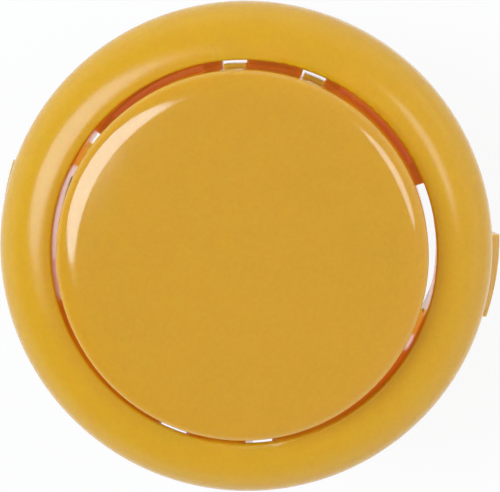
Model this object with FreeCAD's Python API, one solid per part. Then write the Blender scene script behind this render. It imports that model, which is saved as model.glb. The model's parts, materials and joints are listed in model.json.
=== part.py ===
"""Snap-in arcade push button for a 30 mm panel hole.

A moulded housing with a domed rim carries a round plunger on an inner stop shelf. A small snap-in switch
under the plunger returns it with a coil spring and closes two blade terminals.

Frame: millimetres, +Z up along the plunger's axis, +X through one panel clip. The origin is on the axis,
in the plane where the rim's underside rests on the panel.
"""
import FreeCAD
import Part

import math
import os

# Housing, across
PANEL_HOLE_DIAMETER = 30.0
BODY_HOLE_CLEARANCE = 0.25
RIM_OVERHANG = 1.9
THROAT_WALL = 1.9
BODY_WALL = 1.2
SHELF_WIDTH = 2.15

# Housing, up and down
RIM_HEIGHT = 4.0
RIM_EDGE_HEIGHT = 0.8
CREST_INSET = 0.45
LIP_ROUND = 0.2
SHELF_THICKNESS = 1.4
BODY_DEPTH = 15.0
BODY_LEAD_IN = 0.5

# Openings in the housing
WINDOW_HALF_ANGLE = 27.0
PANEL_FACE_LAND = 0.6
SLOT_ANGLE = 13.0
SLOT_SIDE_CLEARANCE = 0.12
GROOVE_DEPTH = 0.85
GROOVE_TOP_DROP = 0.25

# Panel clips
THINNEST_PANEL = 2.1
CLIP_WIDTH = 5.8
CLIP_SLOT = 0.6
CLIP_PROUD = 2.6
CLIP_CATCH_HEIGHT = 2.9
CLIP_LAND = 0.6
CLIP_RAMP_HEIGHT = 5.4
CLIP_ROOT = 0.6
CLIP_SLOT_ROUND = 0.4

# Plunger
PLUNGER_CLEARANCE = 0.55
PLUNGER_RISE = 2.8
PLUNGER_TRAVEL = 2.5
CROWN_RADIUS = 300.0
SHOULDER_RADIUS = 2.9
SHOULDER_TILT = 27.0
EDGE_RADIUS = 0.6
CAP_THICKNESS = 1.6
CAP_INNER_ROUND = 1.5
SKIRT_WALL = 1.3
SKIRT_DROP = 1.2
STOP_GAP = 0.1
RIB_ANGLE = 12.3
RIB_LAG = 1.2
RIB_PROUD = 0.3
RIB_WIDTH = 1.5
RIB_TOP_DROP = 2.4
RIB_LENGTH = 2.0
PAD_CLEARANCE = 0.2
PAD_HALF_ANGLE = 16.0
PAD_HEIGHT = 1.5
LEG_ANGLE = 18.0
LEG_WIDTH = 1.8
LEG_THICKNESS = 1.3
HOOK_BITE = 0.4
HOOK_LAND = 0.6
HOOK_HEIGHT = 1.9
POST_RADIUS = 2.6
POST_BORE_RADIUS = 0.9
WEB_THICKNESS = 1.0
WEB_HEIGHT = 2.6

# Switch case and its latch arms
CASE_WIDTH = 11.6
CASE_HEIGHT = 9.0
CASE_WALL = 1.0
CASE_ROOF = 1.2
CASE_CORNER = 1.6
COLLAR_WALL = 1.0
COLLAR_HEIGHT = 0.6
LATCH_WIDTH = 2.2
LATCH_THICKNESS = 0.9
LATCH_SPRING_GAP = 2.4
LATCH_FOOT = 1.4
LATCH_WINDOW_HEIGHT = 2.2
LATCH_WINDOW_LIFT = 2.4
LATCH_RECESS = 0.25
LATCH_OVERRUN = 1.4
FIT_GAP = 0.05
LATCH_GAP = 0.15

# Switch inside
BASE_THICKNESS = 1.6
BASE_SEAT = 0.4
ACTUATOR_RADIUS = 1.95
ACTUATOR_GAP = 0.08
ACTUATOR_REST_PROUD = 0.5
ACTUATOR_EDGE = 0.4
PUSHER_RADIUS = 3.2
SPRING_WIRE = 0.36
SPRING_WIRE_FLATS = 8
SPRING_TURNS = 5.5
SPRING_SEAT_RADIUS = 1.15
SPRING_SEAT_HEIGHT = 0.9
TERMINAL_WIDTH = 2.8
TERMINAL_THICKNESS = 0.5
TERMINAL_LENGTH = 7.4
TERMINAL_SPACING = 9.0
TERMINAL_HOLE_RADIUS = 0.65
TERMINAL_HOLE_FROM_TIP = 2.0
TERMINAL_TIP_CHAMFER = 0.6
TERMINAL_BEND_RADIUS = 0.3
BLADE_THICKNESS = 0.2
BLADE_WIDTH = 3.2
BLADE_EYE_WALL = 1.0
BLADE_EYE_CLEARANCE = 0.4
BLADE_SEAT = 1.5
CONTACT_RADIUS = 1.0
CONTACT_HEIGHT = 0.5
CONTACT_CHAMFER = 0.15
CONTACT_GAP = 1.2
CONTACT_MARGIN = 0.5
TOUCH_GAP = 0.03

# Radii that follow
body_radius = PANEL_HOLE_DIAMETER / 2 - BODY_HOLE_CLEARANCE
rim_radius = body_radius + RIM_OVERHANG
lip_radius = body_radius - THROAT_WALL
lower_radius = body_radius - BODY_WALL
shelf_radius = lip_radius - SHELF_WIDTH
plunger_radius = lip_radius - PLUNGER_CLEARANCE
rib_radius = plunger_radius + RIB_PROUD

# Rim profile: one arc from the lip over the crest, and a side arc that ends upright at the rim's edge
crest_radius = lip_radius + CREST_INSET
rim_slope_width = rim_radius - crest_radius
rim_slope_height = RIM_HEIGHT - RIM_EDGE_HEIGHT
rim_side_radius = (rim_slope_height - (math.sqrt(2) - 1) * rim_slope_width) / (2 - math.sqrt(2))
rim_top_radius = rim_slope_width + rim_slope_height - rim_side_radius
rim_top_centre_z = RIM_HEIGHT - rim_top_radius
lip_tilt = math.asin((CREST_INSET - LIP_ROUND) / (rim_top_radius - LIP_ROUND))
lip_z = rim_top_centre_z + (rim_top_radius - LIP_ROUND) * math.cos(lip_tilt)

# Cap profile: crown, shoulder and edge rounds, each tangent to the next
crown_z = RIM_HEIGHT + PLUNGER_RISE
shoulder_tilt = math.radians(SHOULDER_TILT)
edge_centre_r = plunger_radius - EDGE_RADIUS
shoulder_centre_r = edge_centre_r - (SHOULDER_RADIUS - EDGE_RADIUS) * math.sin(shoulder_tilt)
crown_tilt = math.asin(shoulder_centre_r / (CROWN_RADIUS - SHOULDER_RADIUS))
crown_centre_z = crown_z - CROWN_RADIUS
shoulder_centre_z = crown_centre_z + (CROWN_RADIUS - SHOULDER_RADIUS) * math.cos(crown_tilt)
edge_centre_z = shoulder_centre_z + (SHOULDER_RADIUS - EDGE_RADIUS) * math.cos(shoulder_tilt)

# Heights that follow
cap_underside_z = crown_z - CAP_THICKNESS
skirt_z = -SKIRT_DROP
shelf_z = skirt_z - PLUNGER_TRAVEL - STOP_GAP
ledge_z = shelf_z - SHELF_THICKNESS
hook_z = ledge_z - STOP_GAP
rib_top_z = edge_centre_z - RIB_TOP_DROP
clip_crest_z = -THINNEST_PANEL - CLIP_CATCH_HEIGHT
clip_ramp_end_z = clip_crest_z - CLIP_LAND - CLIP_RAMP_HEIGHT
clip_top_z = -PANEL_FACE_LAND - CLIP_SLOT
foot_z = -BODY_DEPTH - FIT_GAP
case_bottom_z = foot_z - LATCH_FOOT
case_top_z = case_bottom_z + CASE_HEIGHT
collar_z = case_top_z + COLLAR_HEIGHT
cavity_z = case_top_z - CASE_ROOF
base_top_z = case_bottom_z + BASE_THICKNESS
actuator_z = collar_z + PLUNGER_TRAVEL + ACTUATOR_REST_PROUD
post_z = actuator_z + FIT_GAP

# Latch arms: a flat outer face that stays inside the round wall
latch_half = LATCH_WIDTH / 2
latch_outer_y = math.sqrt((lower_radius - LATCH_GAP) ** 2 - latch_half ** 2)
latch_inner_y = latch_outer_y - LATCH_THICKNESS
case_half_length = latch_inner_y - LATCH_SPRING_GAP
case_half_width = CASE_WIDTH / 2
cavity_half_length = case_half_length - CASE_WALL - BASE_SEAT
cavity_half_width = case_half_width - CASE_WALL - BASE_SEAT
latch_window_z = -BODY_DEPTH + LATCH_WINDOW_LIFT

# Contact stack, from the base up
terminal_y = TERMINAL_SPACING / 2
shelf_strip_z = base_top_z + TERMINAL_THICKNESS
fixed_contact_z = shelf_strip_z + CONTACT_HEIGHT
moving_contact_z = fixed_contact_z + CONTACT_GAP
blade_z = moving_contact_z + CONTACT_HEIGHT
blade_top_z = blade_z + BLADE_THICKNESS
contact_y = cavity_half_length - CONTACT_RADIUS - CONTACT_MARGIN
blade_end_y = -cavity_half_length + FIT_GAP
blade_hinge_y = blade_end_y + BLADE_SEAT

# The blade swings until its contact meets the fixed one, just as the pusher's near edge comes down on it
blade_swing = math.asin((CONTACT_GAP - TOUCH_GAP) / (contact_y - blade_hinge_y + CONTACT_RADIUS))
blade_near_drop = (-PUSHER_RADIUS - blade_hinge_y) * math.tan(blade_swing)
pusher_top_z = cavity_z - FIT_GAP
pusher_z = blade_top_z - blade_near_drop + PLUNGER_TRAVEL + TOUCH_GAP
spring_radius = SPRING_SEAT_RADIUS + FIT_GAP + SPRING_WIRE / 2
blade_eye_bore = spring_radius + SPRING_WIRE / 2 + BLADE_EYE_CLEARANCE
blade_eye_radius = max(PUSHER_RADIUS, blade_eye_bore + BLADE_EYE_WALL)

SLOT_CENTRES = [side + offset for side in (90, 270) for offset in (-SLOT_ANGLE, SLOT_ANGLE)]
RIB_CENTRES = [side - RIB_LAG + offset for side in (90, 270) for offset in (-RIB_ANGLE, RIB_ANGLE)]
PAD_ANGLE = (90 - SLOT_ANGLE + WINDOW_HALF_ANGLE) / 2
PAD_CENTRES = [side + offset for side in (0, 180) for offset in (-PAD_ANGLE, PAD_ANGLE)]
CLIP_SIDES = (0, 180)
LATCH_SIDES = (0, 180)
CUT_MARGIN = 1.0


def point(radius, z):
    """A point of a turned profile, in the XZ plane."""
    return FreeCAD.Vector(radius, 0, z)


def lines(corners):
    """Straight edges through the corners, which are (radius, z) pairs."""
    return [Part.makeLine(point(*a), point(*b)) for a, b in zip(corners, corners[1:])]


def arc(centre, radius, start_tilt, end_tilt):
    """An arc about a (radius, z) centre, between two tilts from straight up, in radians."""
    tilts = (start_tilt, (start_tilt + end_tilt) / 2, end_tilt)
    ends = [point(centre[0] + radius * math.sin(t), centre[1] + radius * math.cos(t)) for t in tilts]
    return Part.Arc(*ends).toShape()


def turned(edges, angle=360, start=0):
    """The solid that a closed profile sweeps about the Z axis."""
    face = Part.Face(Part.Wire(edges))
    solid = face.revolve(FreeCAD.Vector(0, 0, 0), FreeCAD.Vector(0, 0, 1), angle)
    solid.rotate(FreeCAD.Vector(0, 0, 0), FreeCAD.Vector(0, 0, 1), start)
    return solid


def turned_polygon(corners, angle=360, start=0):
    return turned(lines([*corners, corners[0]]), angle, start)


def ring_sector(inner, outer, low, high, centre, half_angle):
    """A block of a ring, used for guide ribs, their grooves and the windows."""
    corners = [(inner, low), (outer, low), (outer, high), (inner, high)]
    return turned_polygon(corners, 2 * half_angle, centre - half_angle)


def cylinder(radius, low, high):
    """An upright cylinder on the Z axis, between two heights."""
    return Part.makeCylinder(radius, high - low, FreeCAD.Vector(0, 0, low))


def block(half_x, half_y, low, high, x=0, y=0):
    """A box centred on x and y, between two heights."""
    corner = FreeCAD.Vector(x - half_x, y - half_y, low)
    return Part.makeBox(2 * half_x, 2 * half_y, high - low, corner)


def edges_along(shape, axis):
    """The straight edges of a shape that run along one axis."""
    found = []
    for edge in shape.Edges:
        if isinstance(edge.Curve, Part.Line) and abs(edge.tangentAt(edge.FirstParameter).dot(axis)) > 0.999:
            found.append(edge)
    return found


def rounded_block(half_x, half_y, low, high, radius):
    shape = block(half_x, half_y, low, high)
    return shape.makeFillet(radius, edges_along(shape, FreeCAD.Vector(0, 0, 1)))


def spun(shape, angle):
    """A copy turned about the Z axis."""
    copy = shape.copy()
    copy.rotate(FreeCAD.Vector(0, 0, 0), FreeCAD.Vector(0, 0, 1), angle)
    return copy


def extruded_xz(corners, half_width):
    """A prism along Y from (x, z) corners."""
    wire = Part.Wire(lines([*corners, corners[0]]))
    prism = Part.Face(wire).extrude(FreeCAD.Vector(0, 2 * half_width, 0))
    prism.translate(FreeCAD.Vector(0, -half_width, 0))
    return prism


def join(shapes):
    return shapes[0].multiFuse(shapes[1:]).removeSplitter()


# Housing: rim, throat, stop shelf and body in one moulding


def housing_shell():
    """Rim, throat, shelf and wall before anything is cut."""
    lip = arc((lip_radius + LIP_ROUND, lip_z), LIP_ROUND, -math.pi / 2, -lip_tilt)
    top = arc((crest_radius, rim_top_centre_z), rim_top_radius, -lip_tilt, math.pi / 4)
    side = arc((rim_radius - rim_side_radius, RIM_EDGE_HEIGHT), rim_side_radius, math.pi / 4, math.pi / 2)
    corners = [
        (rim_radius, RIM_EDGE_HEIGHT),
        (rim_radius, 0),
        (body_radius, 0),
        (body_radius, -BODY_DEPTH + BODY_LEAD_IN),
        (body_radius - BODY_LEAD_IN, -BODY_DEPTH),
        (lower_radius, -BODY_DEPTH),
        (lower_radius, ledge_z),
        (shelf_radius, ledge_z),
        (shelf_radius, shelf_z),
        (lip_radius, shelf_z),
        (lip_radius, lip_z),
    ]
    return turned([lip, top, side, *lines(corners)])


def shelf_window():
    """The gap in the shelf on the +X side, where a hook leg passes."""
    return ring_sector(shelf_radius - CUT_MARGIN, lip_radius, ledge_z - CUT_MARGIN, shelf_z + CUT_MARGIN,
                       0, WINDOW_HALF_ANGLE)


def wall_slot(centre):
    """A slot through the wall beside a switch latch, which goes on up the throat as a groove."""
    half_angle = math.degrees((RIB_WIDTH / 2 + SLOT_SIDE_CLEARANCE) / rib_radius)
    groove = ring_sector(shelf_radius - CUT_MARGIN, lip_radius + GROOVE_DEPTH, -PANEL_FACE_LAND,
                         lip_z - GROOVE_TOP_DROP, centre, half_angle)
    slot = ring_sector(shelf_radius - CUT_MARGIN, body_radius + CUT_MARGIN, -BODY_DEPTH - CUT_MARGIN,
                       -PANEL_FACE_LAND, centre, half_angle)
    return join([groove, slot])


def clip_opening():
    """The slot around a clip, rounded at its corners."""
    shape = block((body_radius - lower_radius) / 2 + CUT_MARGIN, CLIP_WIDTH / 2 + CLIP_SLOT,
                  clip_ramp_end_z, clip_top_z + CLIP_SLOT, (body_radius + lower_radius) / 2)
    return shape.makeFillet(CLIP_SLOT_ROUND, edges_along(shape, FreeCAD.Vector(1, 0, 0)))


def clip_tongue():
    """A bent strip that stands on the wall below its slot and catches under the panel."""
    outside = [
        (body_radius, clip_top_z),
        (body_radius, -THINNEST_PANEL),
        (body_radius + CLIP_PROUD, clip_crest_z),
        (body_radius + CLIP_PROUD, clip_crest_z - CLIP_LAND),
        (body_radius, clip_ramp_end_z),
        (body_radius, clip_ramp_end_z - CLIP_ROOT),
    ]
    inside = [(r - BODY_WALL, z) for r, z in reversed(outside)]
    reach = math.degrees(math.asin((CLIP_WIDTH / 2 + CLIP_SLOT) / lower_radius))
    strip = turned_polygon(outside + inside, 2 * reach, -reach)
    return strip.common(block(rim_radius + CLIP_PROUD, CLIP_WIDTH / 2, -BODY_DEPTH, 0))


def latch_window():
    """The hole in the wall that a switch latch snaps into, on the +Y side."""
    half_height = LATCH_WINDOW_HEIGHT / 2
    return block(latch_half + LATCH_GAP, BODY_WALL / 2 + CUT_MARGIN, latch_window_z - half_height,
                 latch_window_z + half_height, 0, (lower_radius + body_radius) / 2)


def housing():
    cuts = [wall_slot(centre) for centre in SLOT_CENTRES]
    cuts += [spun(shelf_window(), side) for side in CLIP_SIDES]
    cuts += [spun(clip_opening(), side) for side in CLIP_SIDES]
    cuts += [spun(latch_window(), side) for side in LATCH_SIDES]
    shell = housing_shell().cut(cuts)
    return join([shell, *[spun(clip_tongue(), side) for side in CLIP_SIDES]])


# Plunger: domed cap with a skirt, guide ribs, hook legs and a post over the switch


def plunger_cap():
    crown = arc((0, crown_centre_z), CROWN_RADIUS, 0, crown_tilt)
    shoulder = arc((shoulder_centre_r, shoulder_centre_z), SHOULDER_RADIUS, crown_tilt, shoulder_tilt)
    edge = arc((edge_centre_r, edge_centre_z), EDGE_RADIUS, shoulder_tilt, math.pi / 2)
    skirt_inner = plunger_radius - SKIRT_WALL
    corners = [
        (plunger_radius, edge_centre_z),
        (plunger_radius, skirt_z),
        (skirt_inner, skirt_z),
        (skirt_inner, cap_underside_z - CAP_INNER_ROUND),
        (skirt_inner - CAP_INNER_ROUND, cap_underside_z),
        (0, cap_underside_z),
        (0, crown_z),
    ]
    return turned([crown, shoulder, edge, *lines(corners)])


def guide_rib(centre):
    """A short rib on the skirt that steadies the plunger under the lip."""
    half_angle = math.degrees(RIB_WIDTH / 2 / rib_radius)
    return ring_sector(plunger_radius - SKIRT_WALL / 2, rib_radius, rib_top_z - RIB_LENGTH, rib_top_z,
                       centre, half_angle)


def guide_pad(centre):
    """A low pad round the foot of the skirt that keeps the plunger centred in the throat."""
    return ring_sector(plunger_radius - SKIRT_WALL / 2, lip_radius - PAD_CLEARANCE, skirt_z,
                       skirt_z + PAD_HEIGHT, centre, PAD_HALF_ANGLE)


def hook_leg():
    """A leg below the skirt on the +X side, with a hook that stops the plunger coming out."""
    inner = plunger_radius - LEG_THICKNESS
    tip = lip_radius + HOOK_BITE
    corners = [
        (inner, skirt_z + SKIRT_WALL),
        (plunger_radius, skirt_z + SKIRT_WALL),
        (plunger_radius, hook_z),
        (tip, hook_z),
        (tip, hook_z - HOOK_LAND),
        (inner + LEG_THICKNESS / 2, hook_z - HOOK_HEIGHT),
        (inner, hook_z - HOOK_HEIGHT),
    ]
    half_angle = math.degrees(LEG_WIDTH / 2 / plunger_radius)
    return turned_polygon(corners, 2 * half_angle, -LEG_ANGLE - half_angle)


def plunger_post():
    """The tube over the switch, with four webs under the cap."""
    post = cylinder(POST_RADIUS, post_z, cap_underside_z)
    reach = plunger_radius - SKIRT_WALL / 2
    web_low = cap_underside_z - WEB_HEIGHT
    webs = [block(reach, WEB_THICKNESS / 2, web_low, cap_underside_z),
            block(WEB_THICKNESS / 2, reach, web_low, cap_underside_z)]
    bore = cylinder(POST_BORE_RADIUS, post_z - CUT_MARGIN, cap_underside_z)
    return join([post, *webs]).cut(bore)


def plunger():
    ribs = [guide_rib(centre) for centre in RIB_CENTRES]
    pads = [guide_pad(centre) for centre in PAD_CENTRES]
    legs = [spun(hook_leg(), side) for side in CLIP_SIDES]
    return join([plunger_cap(), *ribs, *pads, *legs, plunger_post()])


# Switch case, base and actuator


def latch_arm():
    """A springy arm on the +Y side: a foot under the housing's wall, an upright strip and a hook."""
    half_height = LATCH_WINDOW_HEIGHT / 2
    catch_z = latch_window_z - half_height + FIT_GAP
    tip_y = body_radius - LATCH_RECESS
    corners = [
        (case_half_length - CASE_WALL / 2, case_bottom_z),
        (tip_y, case_bottom_z),
        (tip_y, foot_z),
        (latch_outer_y, foot_z),
        (latch_outer_y, catch_z),
        (tip_y, catch_z),
        (latch_outer_y, latch_window_z + half_height - FIT_GAP),
        (latch_outer_y, latch_window_z + half_height + LATCH_OVERRUN),
        (latch_inner_y, latch_window_z + half_height + LATCH_OVERRUN),
        (latch_inner_y, foot_z),
        (case_half_length - CASE_WALL / 2, foot_z),
    ]
    return spun(extruded_xz(corners, latch_half), 90)


def switch_case():
    outer = rounded_block(case_half_width, case_half_length, case_bottom_z, case_top_z, CASE_CORNER)
    collar = cylinder(ACTUATOR_RADIUS + ACTUATOR_GAP + COLLAR_WALL, case_top_z - CASE_ROOF / 2, collar_z)
    shell = join([outer, collar, *[spun(latch_arm(), side) for side in LATCH_SIDES]])
    cavity = block(cavity_half_width, cavity_half_length, case_bottom_z - CUT_MARGIN, cavity_z)
    base_seat = block(cavity_half_width + BASE_SEAT, cavity_half_length + BASE_SEAT,
                      case_bottom_z - CUT_MARGIN, base_top_z + FIT_GAP)
    actuator_hole = cylinder(ACTUATOR_RADIUS + ACTUATOR_GAP, cavity_z - CUT_MARGIN, collar_z + CUT_MARGIN)
    return shell.cut([cavity, base_seat, actuator_hole])


def switch_base():
    """The plate under the case: slots with room for the terminals' bends, and a boss for the spring."""
    half_width = cavity_half_width + BASE_SEAT - FIT_GAP
    half_length = cavity_half_length + BASE_SEAT - FIT_GAP
    plate = block(half_width, half_length, case_bottom_z, base_top_z)
    boss = cylinder(SPRING_SEAT_RADIUS, base_top_z - BASE_THICKNESS / 2, base_top_z + SPRING_SEAT_HEIGHT)
    slot_half = TERMINAL_THICKNESS / 2 + FIT_GAP
    cuts = []
    for y in (-terminal_y, terminal_y):
        cuts.append(block(TERMINAL_WIDTH / 2 + FIT_GAP, slot_half, case_bottom_z - CUT_MARGIN,
                          base_top_z + CUT_MARGIN, 0, y))
        cuts.append(block(TERMINAL_WIDTH / 2 + FIT_GAP, slot_half + TERMINAL_BEND_RADIUS,
                          base_top_z - TERMINAL_BEND_RADIUS - FIT_GAP, base_top_z + CUT_MARGIN, 0, y))
    return join([plate, boss]).cut(cuts)


def actuator():
    """A round pin with a broad pusher inside the case and a spigot for the spring."""
    corners = [
        (0, actuator_z),
        (ACTUATOR_RADIUS - ACTUATOR_EDGE, actuator_z),
        (ACTUATOR_RADIUS, actuator_z - ACTUATOR_EDGE),
        (ACTUATOR_RADIUS, pusher_top_z),
        (PUSHER_RADIUS, pusher_top_z),
        (PUSHER_RADIUS, pusher_z),
        (SPRING_SEAT_RADIUS, pusher_z),
        (SPRING_SEAT_RADIUS, pusher_z - SPRING_SEAT_HEIGHT),
        (0, pusher_z - SPRING_SEAT_HEIGHT),
    ]
    return turned_polygon(corners)


def wire_section(x, z):
    """The spring wire's cross-section, with flats instead of a true round, about a point of the XZ plane."""
    corner_radius = SPRING_WIRE / 2 / math.cos(math.pi / SPRING_WIRE_FLATS)
    angles = [(2 * i + 1) * math.pi / SPRING_WIRE_FLATS for i in range(SPRING_WIRE_FLATS + 1)]
    corners = [(x + corner_radius * math.cos(a), z + corner_radius * math.sin(a)) for a in angles]
    return Part.Face(Part.Wire(lines(corners)))


def half_ring(low, rise, side):
    """Half a turn of spring wire that climbs from one side (+1 or -1 along X), level at both ends."""
    axis = FreeCAD.Vector(side * rise / 2, 0, spring_radius)
    section = wire_section(side * spring_radius, low)
    return section.revolve(FreeCAD.Vector(0, 0, low + rise / 2), axis.normalize(), 180)


def return_spring():
    """A coil spring between the base and the pusher, whose first and last half turns lie level."""
    low = base_top_z + SPRING_WIRE / 2
    high = pusher_z - FIT_GAP - SPRING_WIRE / 2
    climbing = round(2 * SPRING_TURNS) - 2
    rise = (high - low) / climbing
    rings = [half_ring(low, 0, 1)]
    for turn in range(climbing):
        rings.append(half_ring(low + turn * rise, rise, 1 if turn % 2 else -1))
    rings.append(half_ring(high, 0, 1 if climbing % 2 else -1))
    return join(rings)


# Contacts and terminals


def bent_strip(path, width):
    """A strip of terminal stock that follows (y, z) points along its middle, with rounded bends."""
    half = TERMINAL_THICKNESS / 2
    sides = ([], [])
    for i, (y, z) in enumerate(path):
        before = path[i - 1] if i else None
        after = path[i + 1] if i + 1 < len(path) else None
        normals = []
        for start, end in ((before, (y, z)), ((y, z), after)):
            if start and end:
                length = math.hypot(end[0] - start[0], end[1] - start[1])
                normals.append(((start[1] - end[1]) / length, (end[0] - start[0]) / length))
        if len(normals) == 1:
            normals *= 2
        (a, b), (c, d) = normals
        stretch = half / (1 + a * c + b * d)
        for side, sign in zip(sides, (1, -1)):
            side.append((y + sign * stretch * (a + c), z + sign * stretch * (b + d)))
    strip = spun(extruded_xz(sides[0] + sides[1][::-1], width / 2), 90)
    for i in range(1, len(path) - 1):
        near, far = sorted((sides[0][i], sides[1][i]), key=lambda p: math.dist(p, path[i - 1]))
        outer_bend = TERMINAL_BEND_RADIUS + TERMINAL_THICKNESS
        for corner, radius in ((near, TERMINAL_BEND_RADIUS), (far, outer_bend)):
            edge = [e for e in edges_along(strip, FreeCAD.Vector(1, 0, 0))
                    if math.dist((e.CenterOfMass.y, e.CenterOfMass.z), corner) < TOUCH_GAP]
            strip = strip.makeFillet(radius, edge)
    return strip


def blade_tip_cuts(y):
    """The chamfered corners and the hole of a push-on blade."""
    tip_z = case_bottom_z - TERMINAL_LENGTH
    half = TERMINAL_WIDTH / 2
    hole = Part.makeCylinder(TERMINAL_HOLE_RADIUS, 2 * TERMINAL_THICKNESS,
                             FreeCAD.Vector(0, y - TERMINAL_THICKNESS, tip_z + TERMINAL_HOLE_FROM_TIP),
                             FreeCAD.Vector(0, 1, 0))
    corners = []
    for side in (-1, 1):
        triangle = [(side * half, tip_z), (side * (half - TERMINAL_TIP_CHAMFER), tip_z),
                    (side * half, tip_z + TERMINAL_TIP_CHAMFER)]
        corner = extruded_xz(triangle, TERMINAL_THICKNESS)
        corner.translate(FreeCAD.Vector(0, y, 0))
        corners.append(corner)
    return [hole, *corners]


def common_terminal():
    """Blade, a run along the base, and an upright that carries the contact blade."""
    half = TERMINAL_THICKNESS / 2
    path = [
        (-terminal_y, case_bottom_z - TERMINAL_LENGTH),
        (-terminal_y, base_top_z + half),
        (blade_end_y + half, base_top_z + half),
        (blade_end_y + half, blade_z - half),
        (blade_hinge_y, blade_z - half),
    ]
    return bent_strip(path, TERMINAL_WIDTH).cut(blade_tip_cuts(-terminal_y))


def normally_open_terminal():
    """Blade and a short shelf on the base that carries the fixed contact."""
    half = TERMINAL_THICKNESS / 2
    path = [
        (terminal_y, case_bottom_z - TERMINAL_LENGTH),
        (terminal_y, base_top_z + half),
        (cavity_half_length - FIT_GAP, base_top_z + half),
    ]
    return bent_strip(path, TERMINAL_WIDTH).cut(blade_tip_cuts(terminal_y))


def contact_blade():
    """A thin springy strip with a round eye that the spring stands through."""
    end_y = contact_y + CONTACT_RADIUS
    strip = block(BLADE_WIDTH / 2, (end_y - blade_end_y) / 2, blade_z, blade_top_z, 0,
                  (end_y + blade_end_y) / 2)
    eye = cylinder(blade_eye_radius, blade_z, blade_top_z)
    return join([strip, eye]).cut(cylinder(blade_eye_bore, blade_z - CUT_MARGIN, blade_top_z + CUT_MARGIN))


def contact_button(seat_z, face_z):
    """A round contact from its seat to its bevelled face."""
    bevel = math.copysign(CONTACT_CHAMFER, seat_z - face_z)
    button = turned_polygon([
        (0, seat_z),
        (CONTACT_RADIUS, seat_z),
        (CONTACT_RADIUS, face_z + bevel),
        (CONTACT_RADIUS - CONTACT_CHAMFER, face_z),
        (0, face_z),
    ])
    button.translate(FreeCAD.Vector(0, contact_y, 0))
    return button


def fixed_contact():
    return contact_button(shelf_strip_z, fixed_contact_z)


def moving_contact():
    return contact_button(blade_z, moving_contact_z)


NODES = (housing, plunger, switch_case, switch_base, actuator, return_spring, common_terminal,
         normally_open_terminal, contact_blade, fixed_contact, moving_contact)


def main():
    os.makedirs("parts", exist_ok=True)
    for make in NODES:
        shape = make()
        shape.exportStep(os.path.join("parts", make.__name__ + ".step"))
        print(make.__name__, len(shape.Solids), shape.isValid(), round(shape.Volume, 2))
    print("blade swing, degrees", round(math.degrees(blade_swing), 3))


main()
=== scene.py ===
"""Looks of the snap-in arcade button: finishes, edge rounds, a round-wire spring, floor, light and camera.

Everything is in metres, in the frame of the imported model: +Z up along the plunger's axis, origin in the
plane where the rim rests on the panel.
"""

import json
import math

import bpy
from mathutils import Matrix, Vector

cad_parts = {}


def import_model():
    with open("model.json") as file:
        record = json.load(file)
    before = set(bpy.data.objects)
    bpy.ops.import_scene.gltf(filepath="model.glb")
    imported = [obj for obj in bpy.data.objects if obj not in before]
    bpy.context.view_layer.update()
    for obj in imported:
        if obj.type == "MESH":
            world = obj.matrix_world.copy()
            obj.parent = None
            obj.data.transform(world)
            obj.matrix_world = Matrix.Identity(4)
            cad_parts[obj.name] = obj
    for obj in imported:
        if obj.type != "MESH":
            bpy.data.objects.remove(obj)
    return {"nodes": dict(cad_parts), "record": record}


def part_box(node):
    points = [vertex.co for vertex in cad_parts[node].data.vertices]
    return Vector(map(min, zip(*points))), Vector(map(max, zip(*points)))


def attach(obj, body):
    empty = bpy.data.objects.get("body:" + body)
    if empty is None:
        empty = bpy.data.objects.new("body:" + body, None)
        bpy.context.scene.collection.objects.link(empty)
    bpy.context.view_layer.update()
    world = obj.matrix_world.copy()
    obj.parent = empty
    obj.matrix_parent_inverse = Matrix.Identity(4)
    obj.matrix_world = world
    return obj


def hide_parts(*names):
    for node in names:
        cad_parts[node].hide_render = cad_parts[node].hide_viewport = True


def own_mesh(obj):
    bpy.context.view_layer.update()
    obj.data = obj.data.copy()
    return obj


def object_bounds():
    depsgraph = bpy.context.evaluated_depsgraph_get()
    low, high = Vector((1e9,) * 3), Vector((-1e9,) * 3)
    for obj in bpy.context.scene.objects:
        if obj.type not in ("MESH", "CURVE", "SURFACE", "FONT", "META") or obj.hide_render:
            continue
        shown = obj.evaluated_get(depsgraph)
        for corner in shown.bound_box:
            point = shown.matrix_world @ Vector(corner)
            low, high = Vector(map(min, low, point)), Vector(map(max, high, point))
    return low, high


MM = 0.001

# Camera: the direction from the object to it in the picture's axes (right, up, towards the viewer)
PICTURE_TURN = math.radians(8.5)
VIEW_DIRECTION = (0.0477, 0.116, 1.0)
VIEW_DISTANCE = 190 * MM
VIEW_WIDTH = 33.80 * MM
AIM_HEIGHT = 0.8 * MM
AIM_OFFSET = (0.302 * MM, 0.133 * MM)
SENSOR_WIDTH = 36.0
CLIP_START = 10 * MM

# Oval softboxes: name, direction in the picture's axes, distance, breadth, height, watts
SOFTBOXES = (
    ("key_softbox", (-0.5, 0.15, 0.853), 0.40, 0.23, 0.285, 1.06),
    ("side_softbox", (0.52, 0.20, 0.831), 0.40, 0.17, 0.10, 0.19),
)
SOFTBOX_COLOUR = (0.88, 1.0, 1.1)

# Studio: level overhead and at the horizon, how fast it falls between them, and its lean to the right
ZENITH_LEVEL = 0.38
HORIZON_LEVEL = 1.25
HORIZON_FALL = 3.0
HORIZON_LEAN = 0.30

# Floor
FLOOR_SIZE = 20.0
FLOOR_GAP = 0.05 * MM
FLOOR_COLOUR = (0.92, 0.92, 0.92)
FLOOR_ROUGHNESS = 0.9
FLOOR_WHITE_SHARE = 0.9

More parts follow.
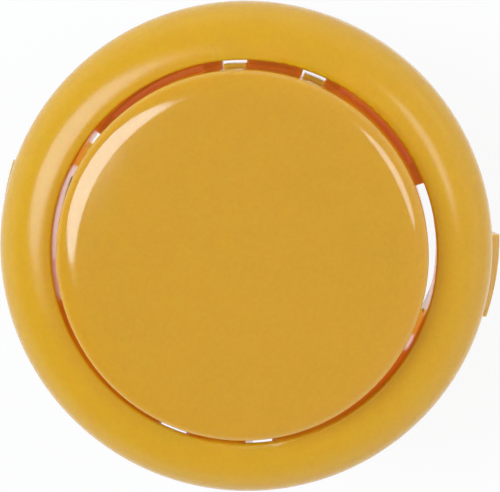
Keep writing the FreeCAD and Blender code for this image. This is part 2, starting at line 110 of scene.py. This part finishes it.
# Noises in the finishes: size of a blotch, detail, seed
CLOUDS = (2.6 * MM, 4.0, 1.7)
SPECKS = (0.22 * MM, 1.0, 7.6)
GLOSS_PATCHES = (1.1 * MM, 3.0, 5.3)
ORANGE_PEEL = (1.6 * MM, 1.0, 9.1)
FINE_GRAIN = (0.12 * MM, 2.0, 3.9)
ROLLING_LINES = (0.6 * MM, 3.0, 2.2)
TARNISH = (1.8 * MM, 4.0, 6.4)
# Range that most of a noise keeps to
NOISE_RANGE = (0.3, 0.7)

# Plastics: screen colour, roughness, and what differs from the plain moulded finish
BLACK_SKIN = {"mottle": 0.12, "peel": 0.002 * MM, "grain": 0.004 * MM}
PLASTICS = {
    "housing_plastic": ((218, 168, 34), 0.20, {"gloss": 0.38, "scatter": 1.0}),
    # The plunger's colour is set a little darker than the housing's: painted shade for its upward face,
    # which gets less light
    "plunger_plastic": ((214, 161, 33), 0.10, {"gloss": 0.68, "scatter": 1.0}),
    "case_plastic": ((38, 38, 40), 0.50, BLACK_SKIN),
    "base_plastic": ((52, 51, 53), 0.55, BLACK_SKIN),
    "actuator_plastic": ((226, 223, 212), 0.35, {"mottle": 0.03}),
}
PLASTIC_PATCHINESS = 0.15
SPECK_SHARE = 0.2
SPECK_LIGHTNESS = 1.25
# How far red, green and blue light spread inside a plastic that scatters
SCATTER_REACH = 1.5 * MM
SCATTER_SHARES = (1.0, 0.6, 0.1)

# Metals: colour, tarnished colour, roughness, and the stretch of the rolling lines along X, Y and Z
LINES_ALONG_Y = (0.05, 1.0, 0.05)
LINES_ALONG_Z = (0.05, 0.05, 1.0)
NO_LINES = (1.0, 1.0, 1.0)
METALS = {
    "spring_steel": ((0.58, 0.58, 0.59), (0.42, 0.42, 0.43), 0.25, LINES_ALONG_Z),
    "tinned_brass": ((0.72, 0.71, 0.68), (0.60, 0.58, 0.53), 0.30, LINES_ALONG_Z),
    "spring_bronze": ((0.72, 0.45, 0.25), (0.55, 0.32, 0.18), 0.28, LINES_ALONG_Y),
    "contact_silver": ((0.83, 0.82, 0.79), (0.66, 0.64, 0.60), 0.22, NO_LINES),
}
METAL_PATCHINESS = 0.3
LINE_DEPTH = 0.001 * MM

# Painted light: emission in the gap round the plunger, between these radii, standing in for light that
# comes through the yellow plastic
GAP_INNER = 11.9 * MM
GAP_OUTER = 13.0 * MM
GAP_SOFTNESS = 0.1 * MM
# Painted reddish glow on the gap's walls, standing in for light that passes through the plastic
PAINTED_WALL_GLOW = (1.0, 0.25, 0.03)
# Painted yellow glow on the plunger's hook legs, standing in for light from below through the windows
PAINTED_HOOK_GLOW = (1.0, 0.75, 0.10)
# Each painted glow: colour, level, and from above and from below the heights where it starts and where it
# is full
PAINTED_GLOWS = {
    "housing_plastic": (
        (PAINTED_WALL_GLOW, 0.21, (3.9 * MM, 1.5 * MM), (-4.6 * MM, -4.2 * MM)),
    ),
    "plunger_plastic": (
        (PAINTED_WALL_GLOW, 0.125, (5.3 * MM, 1.5 * MM), (-2.4 * MM, -1.4 * MM)),
        (PAINTED_HOOK_GLOW, 0.40, (-2.4 * MM, -3.4 * MM), (-9.0 * MM, -8.0 * MM)),
    ),
}

# Edge rounds on the moulded and pressed pieces
EDGE_ANGLE = math.radians(75)
EDGE_SEGMENTS = 2
WELD_DISTANCE = 0.0005 * MM
EDGE_ROUNDS = {
    "housing": 0.10 * MM,
    "plunger": 0.08 * MM,
    "switch_case": 0.12 * MM,
    "switch_base": 0.08 * MM,
    "actuator": 0.06 * MM,
    "common_terminal": 0.04 * MM,
    "normally_open_terminal": 0.04 * MM,
    "contact_blade": 0.02 * MM,
    "fixed_contact": 0.05 * MM,
    "moving_contact": 0.05 * MM,
}

# Coil spring
SPRING_WIRE = 0.36 * MM
SPRING_TURNS = 5.5
SPRING_DEAD_TURNS = 0.8
SPRING_EASE = 0.3
SPRING_STEPS_PER_TURN = 48
SPRING_SIDES = 16


# Node helpers


def new_material(name):
    """A node material with only its output and one principled shader."""
    material = bpy.data.materials.new(name)
    material.use_nodes = True
    tree = material.node_tree
    tree.nodes.clear()
    output = tree.nodes.new("ShaderNodeOutputMaterial")
    shader = tree.nodes.new("ShaderNodeBsdfPrincipled")
    tree.links.new(shader.outputs["BSDF"], output.inputs["Surface"])
    return material, tree, shader


def only(tree, kind):
    """The tree's one node of a kind."""
    return next(n for n in tree.nodes if n.type == kind)


def feed(tree, value, socket):
    """Links a socket to another one, or sets it to a plain value."""
    if isinstance(value, bpy.types.NodeSocket):
        tree.links.new(value, socket)
    else:
        socket.default_value = value


def calculate(tree, operation, first, second):
    """The result of an operation on two values, each a socket or a number."""
    node = tree.nodes.new("ShaderNodeMath")
    node.operation = operation
    feed(tree, first, node.inputs[0])
    feed(tree, second, node.inputs[1])
    return node.outputs["Value"]


def map_range(tree, value, source, target):
    """Carries a value from one range over to another, held at its ends."""
    node = tree.nodes.new("ShaderNodeMapRange")
    for name, limit in zip(("From Min", "From Max", "To Min", "To Max"), (*source, *target)):
        node.inputs[name].default_value = limit
    tree.links.new(value, node.inputs["Value"])
    return node.outputs["Result"]


def ramp(tree, value, start, full):
    """Nought at one value, rising to 1 at another."""
    return map_range(tree, value, (start, full), (0, 1))


def object_coordinates(tree, stretch=(1, 1, 1)):
    """Places on the object in metres, pulled out along an axis by its stretch."""
    coordinates = tree.nodes.new("ShaderNodeTexCoord")
    mapping = tree.nodes.new("ShaderNodeMapping")
    mapping.inputs["Scale"].default_value = [1 / s for s in stretch]
    tree.links.new(coordinates.outputs["Object"], mapping.inputs["Vector"])
    return mapping.outputs["Vector"]


def noise(tree, vector, size, detail, seed):
    """Cloudy values about 0.5, with blotches of about the given size."""
    texture = tree.nodes.new("ShaderNodeTexNoise")
    texture.noise_dimensions = "4D"
    texture.inputs["W"].default_value = seed
    texture.inputs["Scale"].default_value = 1 / size
    texture.inputs["Detail"].default_value = detail
    tree.links.new(vector, texture.inputs["Vector"])
    return texture.outputs["Fac"]


def spread(tree, value, low, high):
    """Stretches a noise over a range."""
    return map_range(tree, value, NOISE_RANGE, (low, high))


def patchy(tree, value, middle, share):
    """Stretches a noise to a share either side of a middle value."""
    return spread(tree, value, middle * (1 - share), middle * (1 + share))


def mix_colours(tree, factor, first, second):
    """A colour between two, each a socket or three numbers."""
    node = tree.nodes.new("ShaderNodeMix")
    node.data_type = "RGBA"
    for name, colour in (("A", first), ("B", second)):
        value = (*colour, 1) if isinstance(colour, tuple) else colour
        feed(tree, value, node.inputs[name])
    tree.links.new(factor, node.inputs["Factor"])
    return node.outputs["Result"]


def bump(tree, height, depth, normal=None):
    """The surface's direction where it is raised by up to a depth, over another bump if one is given."""
    node = tree.nodes.new("ShaderNodeBump")
    node.inputs["Strength"].default_value = 1
    node.inputs["Distance"].default_value = depth
    tree.links.new(height, node.inputs["Height"])
    if normal:
        tree.links.new(normal, node.inputs["Normal"])
    return node.outputs["Normal"]


def linear(red, green, blue):
    """Screen colour from 0 to 255, as scene-linear values by the usual screen curve."""
    values = [c / 255 for c in (red, green, blue)]
    return tuple(c / 12.92 if c <= 0.04045 else ((c + 0.055) / 1.055) ** 2.4 for c in values)


def scaled(colour, factor):
    """A lighter or darker colour, kept within white."""
    return tuple(min(1.0, c * factor) for c in colour)


# Finishes


def moulded_plastic(name, colour, roughness, mottle=0.015, peel=0.003 * MM, grain=0.0002 * MM, gloss=0.5,
                    scatter=0.0):
    """Moulded plastic: cloudy colour, pale specks, patchy gloss, an orange-peel skin and a fine grain."""
    material, tree, shader = new_material(name)
    place = object_coordinates(tree)
    clouds = spread(tree, noise(tree, place, *CLOUDS), 0, 1)
    tint = mix_colours(tree, clouds, scaled(colour, 1 - mottle), scaled(colour, 1 + mottle))
    specks = spread(tree, noise(tree, place, *SPECKS), 0, SPECK_SHARE)
    tint = mix_colours(tree, specks, tint, scaled(colour, SPECK_LIGHTNESS))
    tree.links.new(tint, shader.inputs["Base Color"])
    patches = noise(tree, place, *GLOSS_PATCHES)
    tree.links.new(patchy(tree, patches, roughness, PLASTIC_PATCHINESS), shader.inputs["Roughness"])
    skin = bump(tree, noise(tree, place, *ORANGE_PEEL), peel)
    skin = bump(tree, noise(tree, place, *FINE_GRAIN), grain, skin)
    tree.links.new(skin, shader.inputs["Normal"])
    shader.inputs["Specular IOR Level"].default_value = gloss
    shader.inputs["Subsurface Weight"].default_value = scatter
    shader.inputs["Subsurface Radius"].default_value = SCATTER_SHARES
    shader.inputs["Subsurface Scale"].default_value = SCATTER_REACH
    return material


def paint_gap_glow(material, painted_glows):
    """Paints light into the gap as emission on its walls, each painted glow fading out above and below its
    heights.
    """
    tree = material.node_tree
    place = tree.nodes.new("ShaderNodeSeparateXYZ")
    tree.links.new(object_coordinates(tree), place.inputs["Vector"])
    spokes = tree.nodes.new("ShaderNodeCombineXYZ")
    for axis in "XY":
        tree.links.new(place.outputs[axis], spokes.inputs[axis])
    reach = tree.nodes.new("ShaderNodeVectorMath")
    reach.operation = "LENGTH"
    tree.links.new(spokes.outputs["Vector"], reach.inputs[0])
    past_inner = ramp(tree, reach.outputs["Value"], GAP_INNER, GAP_INNER + GAP_SOFTNESS)
    short_of_outer = ramp(tree, reach.outputs["Value"], GAP_OUTER, GAP_OUTER - GAP_SOFTNESS)
    in_gap = calculate(tree, "MULTIPLY", past_inner, short_of_outer)
    light = (0, 0, 0)
    for colour, level, *fades in painted_glows:
        strength = in_gap
        for start, full in fades:
            strength = calculate(tree, "MULTIPLY", strength, ramp(tree, place.outputs["Z"], start, full))
        light = mix_colours(tree, strength, light, scaled(colour, level))
    shader = only(tree, "BSDF_PRINCIPLED")
    tree.links.new(light, shader.inputs["Emission Color"])
    shader.inputs["Emission Strength"].default_value = 1


def rolled_metal(name, colour, tarnish, roughness, stretch):
    """Rolled or drawn metal: fine lines along one axis, patchy shine and a little tarnish."""
    material, tree, shader = new_material(name)
    lines = noise(tree, object_coordinates(tree, stretch), *ROLLING_LINES)
    blotches = spread(tree, noise(tree, object_coordinates(tree), *TARNISH), 0, 1)
    tree.links.new(mix_colours(tree, blotches, colour, tarnish), shader.inputs["Base Color"])
    tree.links.new(patchy(tree, lines, roughness, METAL_PATCHINESS), shader.inputs["Roughness"])
    tree.links.new(bump(tree, lines, LINE_DEPTH), shader.inputs["Normal"])
    shader.inputs["Metallic"].default_value = 1
    return material


def finishes():
    """One finish for each material slot of the record."""
    made = {}
    for name, (colour, roughness, options) in PLASTICS.items():
        made[name] = moulded_plastic(name, linear(*colour), roughness, **options)
    # Painted light: emission on the gap walls of the yellow plastics
    for name, painted_glows in PAINTED_GLOWS.items():
        paint_gap_glow(made[name], painted_glows)
    for name, (colour, tarnish, roughness, stretch) in METALS.items():
        made[name] = rolled_metal(name, colour, tarnish, roughness, stretch)
    return made


# Pieces


def dress(node, material, edge_round):
    """Gives a CAD node its finish and, by modifiers, small rounds on its sharp edges."""
    node.material_slots[0].material = material
    if edge_round:
        weld = node.modifiers.new("weld", "WELD")
        weld.merge_threshold = WELD_DISTANCE
        rounds = node.modifiers.new("edge_rounds", "BEVEL")
        rounds.width = edge_round
        rounds.segments = EDGE_SEGMENTS
        rounds.limit_method = "ANGLE"
        rounds.angle_limit = EDGE_ANGLE
        rounds.harden_normals = True


def spring_path(low, high, radius):
    """Points up the coil: level dead turns at both ends, and between them turns that ease in and out."""
    steps = round(SPRING_TURNS * SPRING_STEPS_PER_TURN)
    dead = SPRING_DEAD_TURNS / SPRING_TURNS
    points = []
    for i in range(steps + 1):
        share = i / steps
        climb = min(1.0, max(0.0, (share - dead) / (1 - 2 * dead)))
        eased = climb * climb * (3 - 2 * climb)
        climb = eased * SPRING_EASE + climb * (1 - SPRING_EASE)
        angle = 2 * math.pi * SPRING_TURNS * share
        height = low + (high - low) * climb
        points.append(Vector((radius * math.cos(angle), radius * math.sin(angle), height)))
    return points


def wire_mesh(path, radius):
    """A round wire that follows the path about the axis, closed at both ends."""
    up = Vector((0, 0, 1))
    vertices = []
    for point in path:
        outward = Vector((point.x, point.y, 0)).normalized()
        for side in range(SPRING_SIDES):
            turn = 2 * math.pi * side / SPRING_SIDES
            vertices.append(point + outward * (radius * math.cos(turn)) + up * (radius * math.sin(turn)))
    faces = []
    for ring in range(len(path) - 1):
        near = ring * SPRING_SIDES
        far = near + SPRING_SIDES
        for side in range(SPRING_SIDES):
            after = (side + 1) % SPRING_SIDES
            faces.append((near + side, far + side, far + after, near + after))
    last = (len(path) - 1) * SPRING_SIDES
    ends = [tuple(range(SPRING_SIDES)), tuple(reversed(range(last, last + SPRING_SIDES)))]
    mesh = bpy.data.meshes.new("coil_spring")
    mesh.from_pydata(vertices, [], faces + ends)
    mesh.polygons.foreach_set("use_smooth", [True] * len(faces) + [False] * len(ends))
    return mesh


def coil_spring(material):
    """A round-wire spring in the place of the plain one."""
    corner_low, corner_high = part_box("return_spring")
    wire_radius = SPRING_WIRE / 2
    coil_radius = corner_high.x - wire_radius
    path = spring_path(corner_low.z + wire_radius, corner_high.z - wire_radius, coil_radius)
    mesh = wire_mesh(path, wire_radius)
    mesh.materials.append(material)
    spring = bpy.data.objects.new("coil_spring", mesh)
    bpy.context.scene.collection.objects.link(spring)
    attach(spring, "housing")
    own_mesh(spring)
    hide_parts("return_spring")


# Floor, light and camera


def picture_axes():
    """The picture's right and up directions in the object's frame."""
    right = Vector((math.cos(PICTURE_TURN), math.sin(PICTURE_TURN), 0))
    up = Vector((-math.sin(PICTURE_TURN), math.cos(PICTURE_TURN), 0))
    return right, up


def from_picture(direction):
    """A direction in the picture's axes, carried over to the object's frame."""
    right, up = picture_axes()
    return (right * direction[0] + up * direction[1] + Vector((0, 0, direction[2]))).normalized()


def floor_material():
    """Pale and dull, with plain white mixed in where it is seen, mirrored or shows through a piece."""
    material, tree, shader = new_material("floor")
    shader.inputs["Base Color"].default_value = (*FLOOR_COLOUR, 1)
    shader.inputs["Roughness"].default_value = FLOOR_ROUGHNESS
    shader.inputs["Specular IOR Level"].default_value = 0
    white = tree.nodes.new("ShaderNodeEmission")
    white.inputs["Strength"].default_value = 1
    path = tree.nodes.new("ShaderNodeLightPath")
    seen = path.outputs["Is Camera Ray"]
    for ray in ("Is Glossy Ray", "Is Transmission Ray"):
        seen = calculate(tree, "MAXIMUM", seen, path.outputs[ray])
    mix = tree.nodes.new("ShaderNodeMixShader")
    tree.links.new(calculate(tree, "MULTIPLY", seen, FLOOR_WHITE_SHARE), mix.inputs["Fac"])
    tree.links.new(shader.outputs["BSDF"], mix.inputs[1])
    tree.links.new(white.outputs["Emission"], mix.inputs[2])
    tree.links.new(mix.outputs["Shader"], only(tree, "OUTPUT_MATERIAL").inputs["Surface"])
    return material


def floor(level):
    """A plain floor that shows white and keeps the object's shadow."""
    half = FLOOR_SIZE / 2
    corners = [(-half, -half, level), (half, -half, level), (half, half, level), (-half, half, level)]
    mesh = bpy.data.meshes.new("floor")
    mesh.from_pydata(corners, [], [(0, 1, 2, 3)])
    mesh.materials.append(floor_material())
    plane = bpy.data.objects.new("floor", mesh)
    bpy.context.scene.collection.objects.link(plane)


def softboxes():
    """The lamps, each turned towards the object."""
    for name, direction, distance, breadth, height, watts in SOFTBOXES:
        data = bpy.data.lights.new(name, "AREA")
        data.shape = "ELLIPSE"
        data.size = breadth
        data.size_y = height
        data.energy = watts
        data.color = SOFTBOX_COLOUR
        lamp = bpy.data.objects.new(name, data)
        bpy.context.scene.collection.objects.link(lamp)
        towards = from_picture(direction)
        lamp.location = towards * distance
        lamp.rotation_euler = towards.to_track_quat("Z", "Y").to_euler()


def world():
    """A dim studio: brighter towards the horizon than overhead, most of all at the picture's right."""
    studio = bpy.data.worlds.new("studio")
    studio.use_nodes = True
    tree = studio.node_tree
    background = tree.nodes["Background"]
    background.inputs["Color"].default_value = (1, 1, 1, 1)
    direction = tree.nodes.new("ShaderNodeTexCoord").outputs["Generated"]
    parts = tree.nodes.new("ShaderNodeSeparateXYZ")
    tree.links.new(direction, parts.inputs["Vector"])
    lowness = calculate(tree, "POWER", ramp(tree, parts.outputs["Z"], 1, 0), HORIZON_FALL)
    level = map_range(tree, lowness, (0, 1), (ZENITH_LEVEL, HORIZON_LEVEL))
    lean = tree.nodes.new("ShaderNodeVectorMath")
    lean.operation = "DOT_PRODUCT"
    right = picture_axes()[0]
    lean.inputs[1].default_value = right * HORIZON_LEAN
    tree.links.new(direction, lean.inputs[0])
    tree.links.new(calculate(tree, "ADD", level, lean.outputs["Value"]), background.inputs["Strength"])
    bpy.context.scene.world = studio


def camera():
    """The photograph's view: almost straight down, with the picture turned a little about the axis."""
    right, up = picture_axes()
    back = from_picture(VIEW_DIRECTION)
    across = up.cross(back).normalized()
    upward = back.cross(across)
    aim = Vector((0, 0, AIM_HEIGHT)) + right * AIM_OFFSET[0] + up * AIM_OFFSET[1]
    data = bpy.data.cameras.new("camera")
    data.sensor_width = SENSOR_WIDTH
    data.lens = SENSOR_WIDTH * VIEW_DISTANCE / VIEW_WIDTH
    data.clip_start = CLIP_START
    viewer = bpy.data.objects.new("camera", data)
    bpy.context.scene.collection.objects.link(viewer)
    turn = Matrix((across, upward, back)).transposed()
    viewer.matrix_world = Matrix.Translation(aim + back * VIEW_DISTANCE) @ turn.to_4x4()
    bpy.context.scene.camera = viewer


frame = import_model()
cad_low, cad_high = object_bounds()

materials = finishes()
for subpart in frame["record"]["subparts"]:
    name = subpart["node"]
    dress(frame["nodes"][name], materials[subpart["material_slot"]], EDGE_ROUNDS.get(name))
coil_spring(materials["spring_steel"])

floor(cad_low.z - FLOOR_GAP)
softboxes()
world()
camera()
bpy.context.scene.view_settings.view_transform = "Standard"
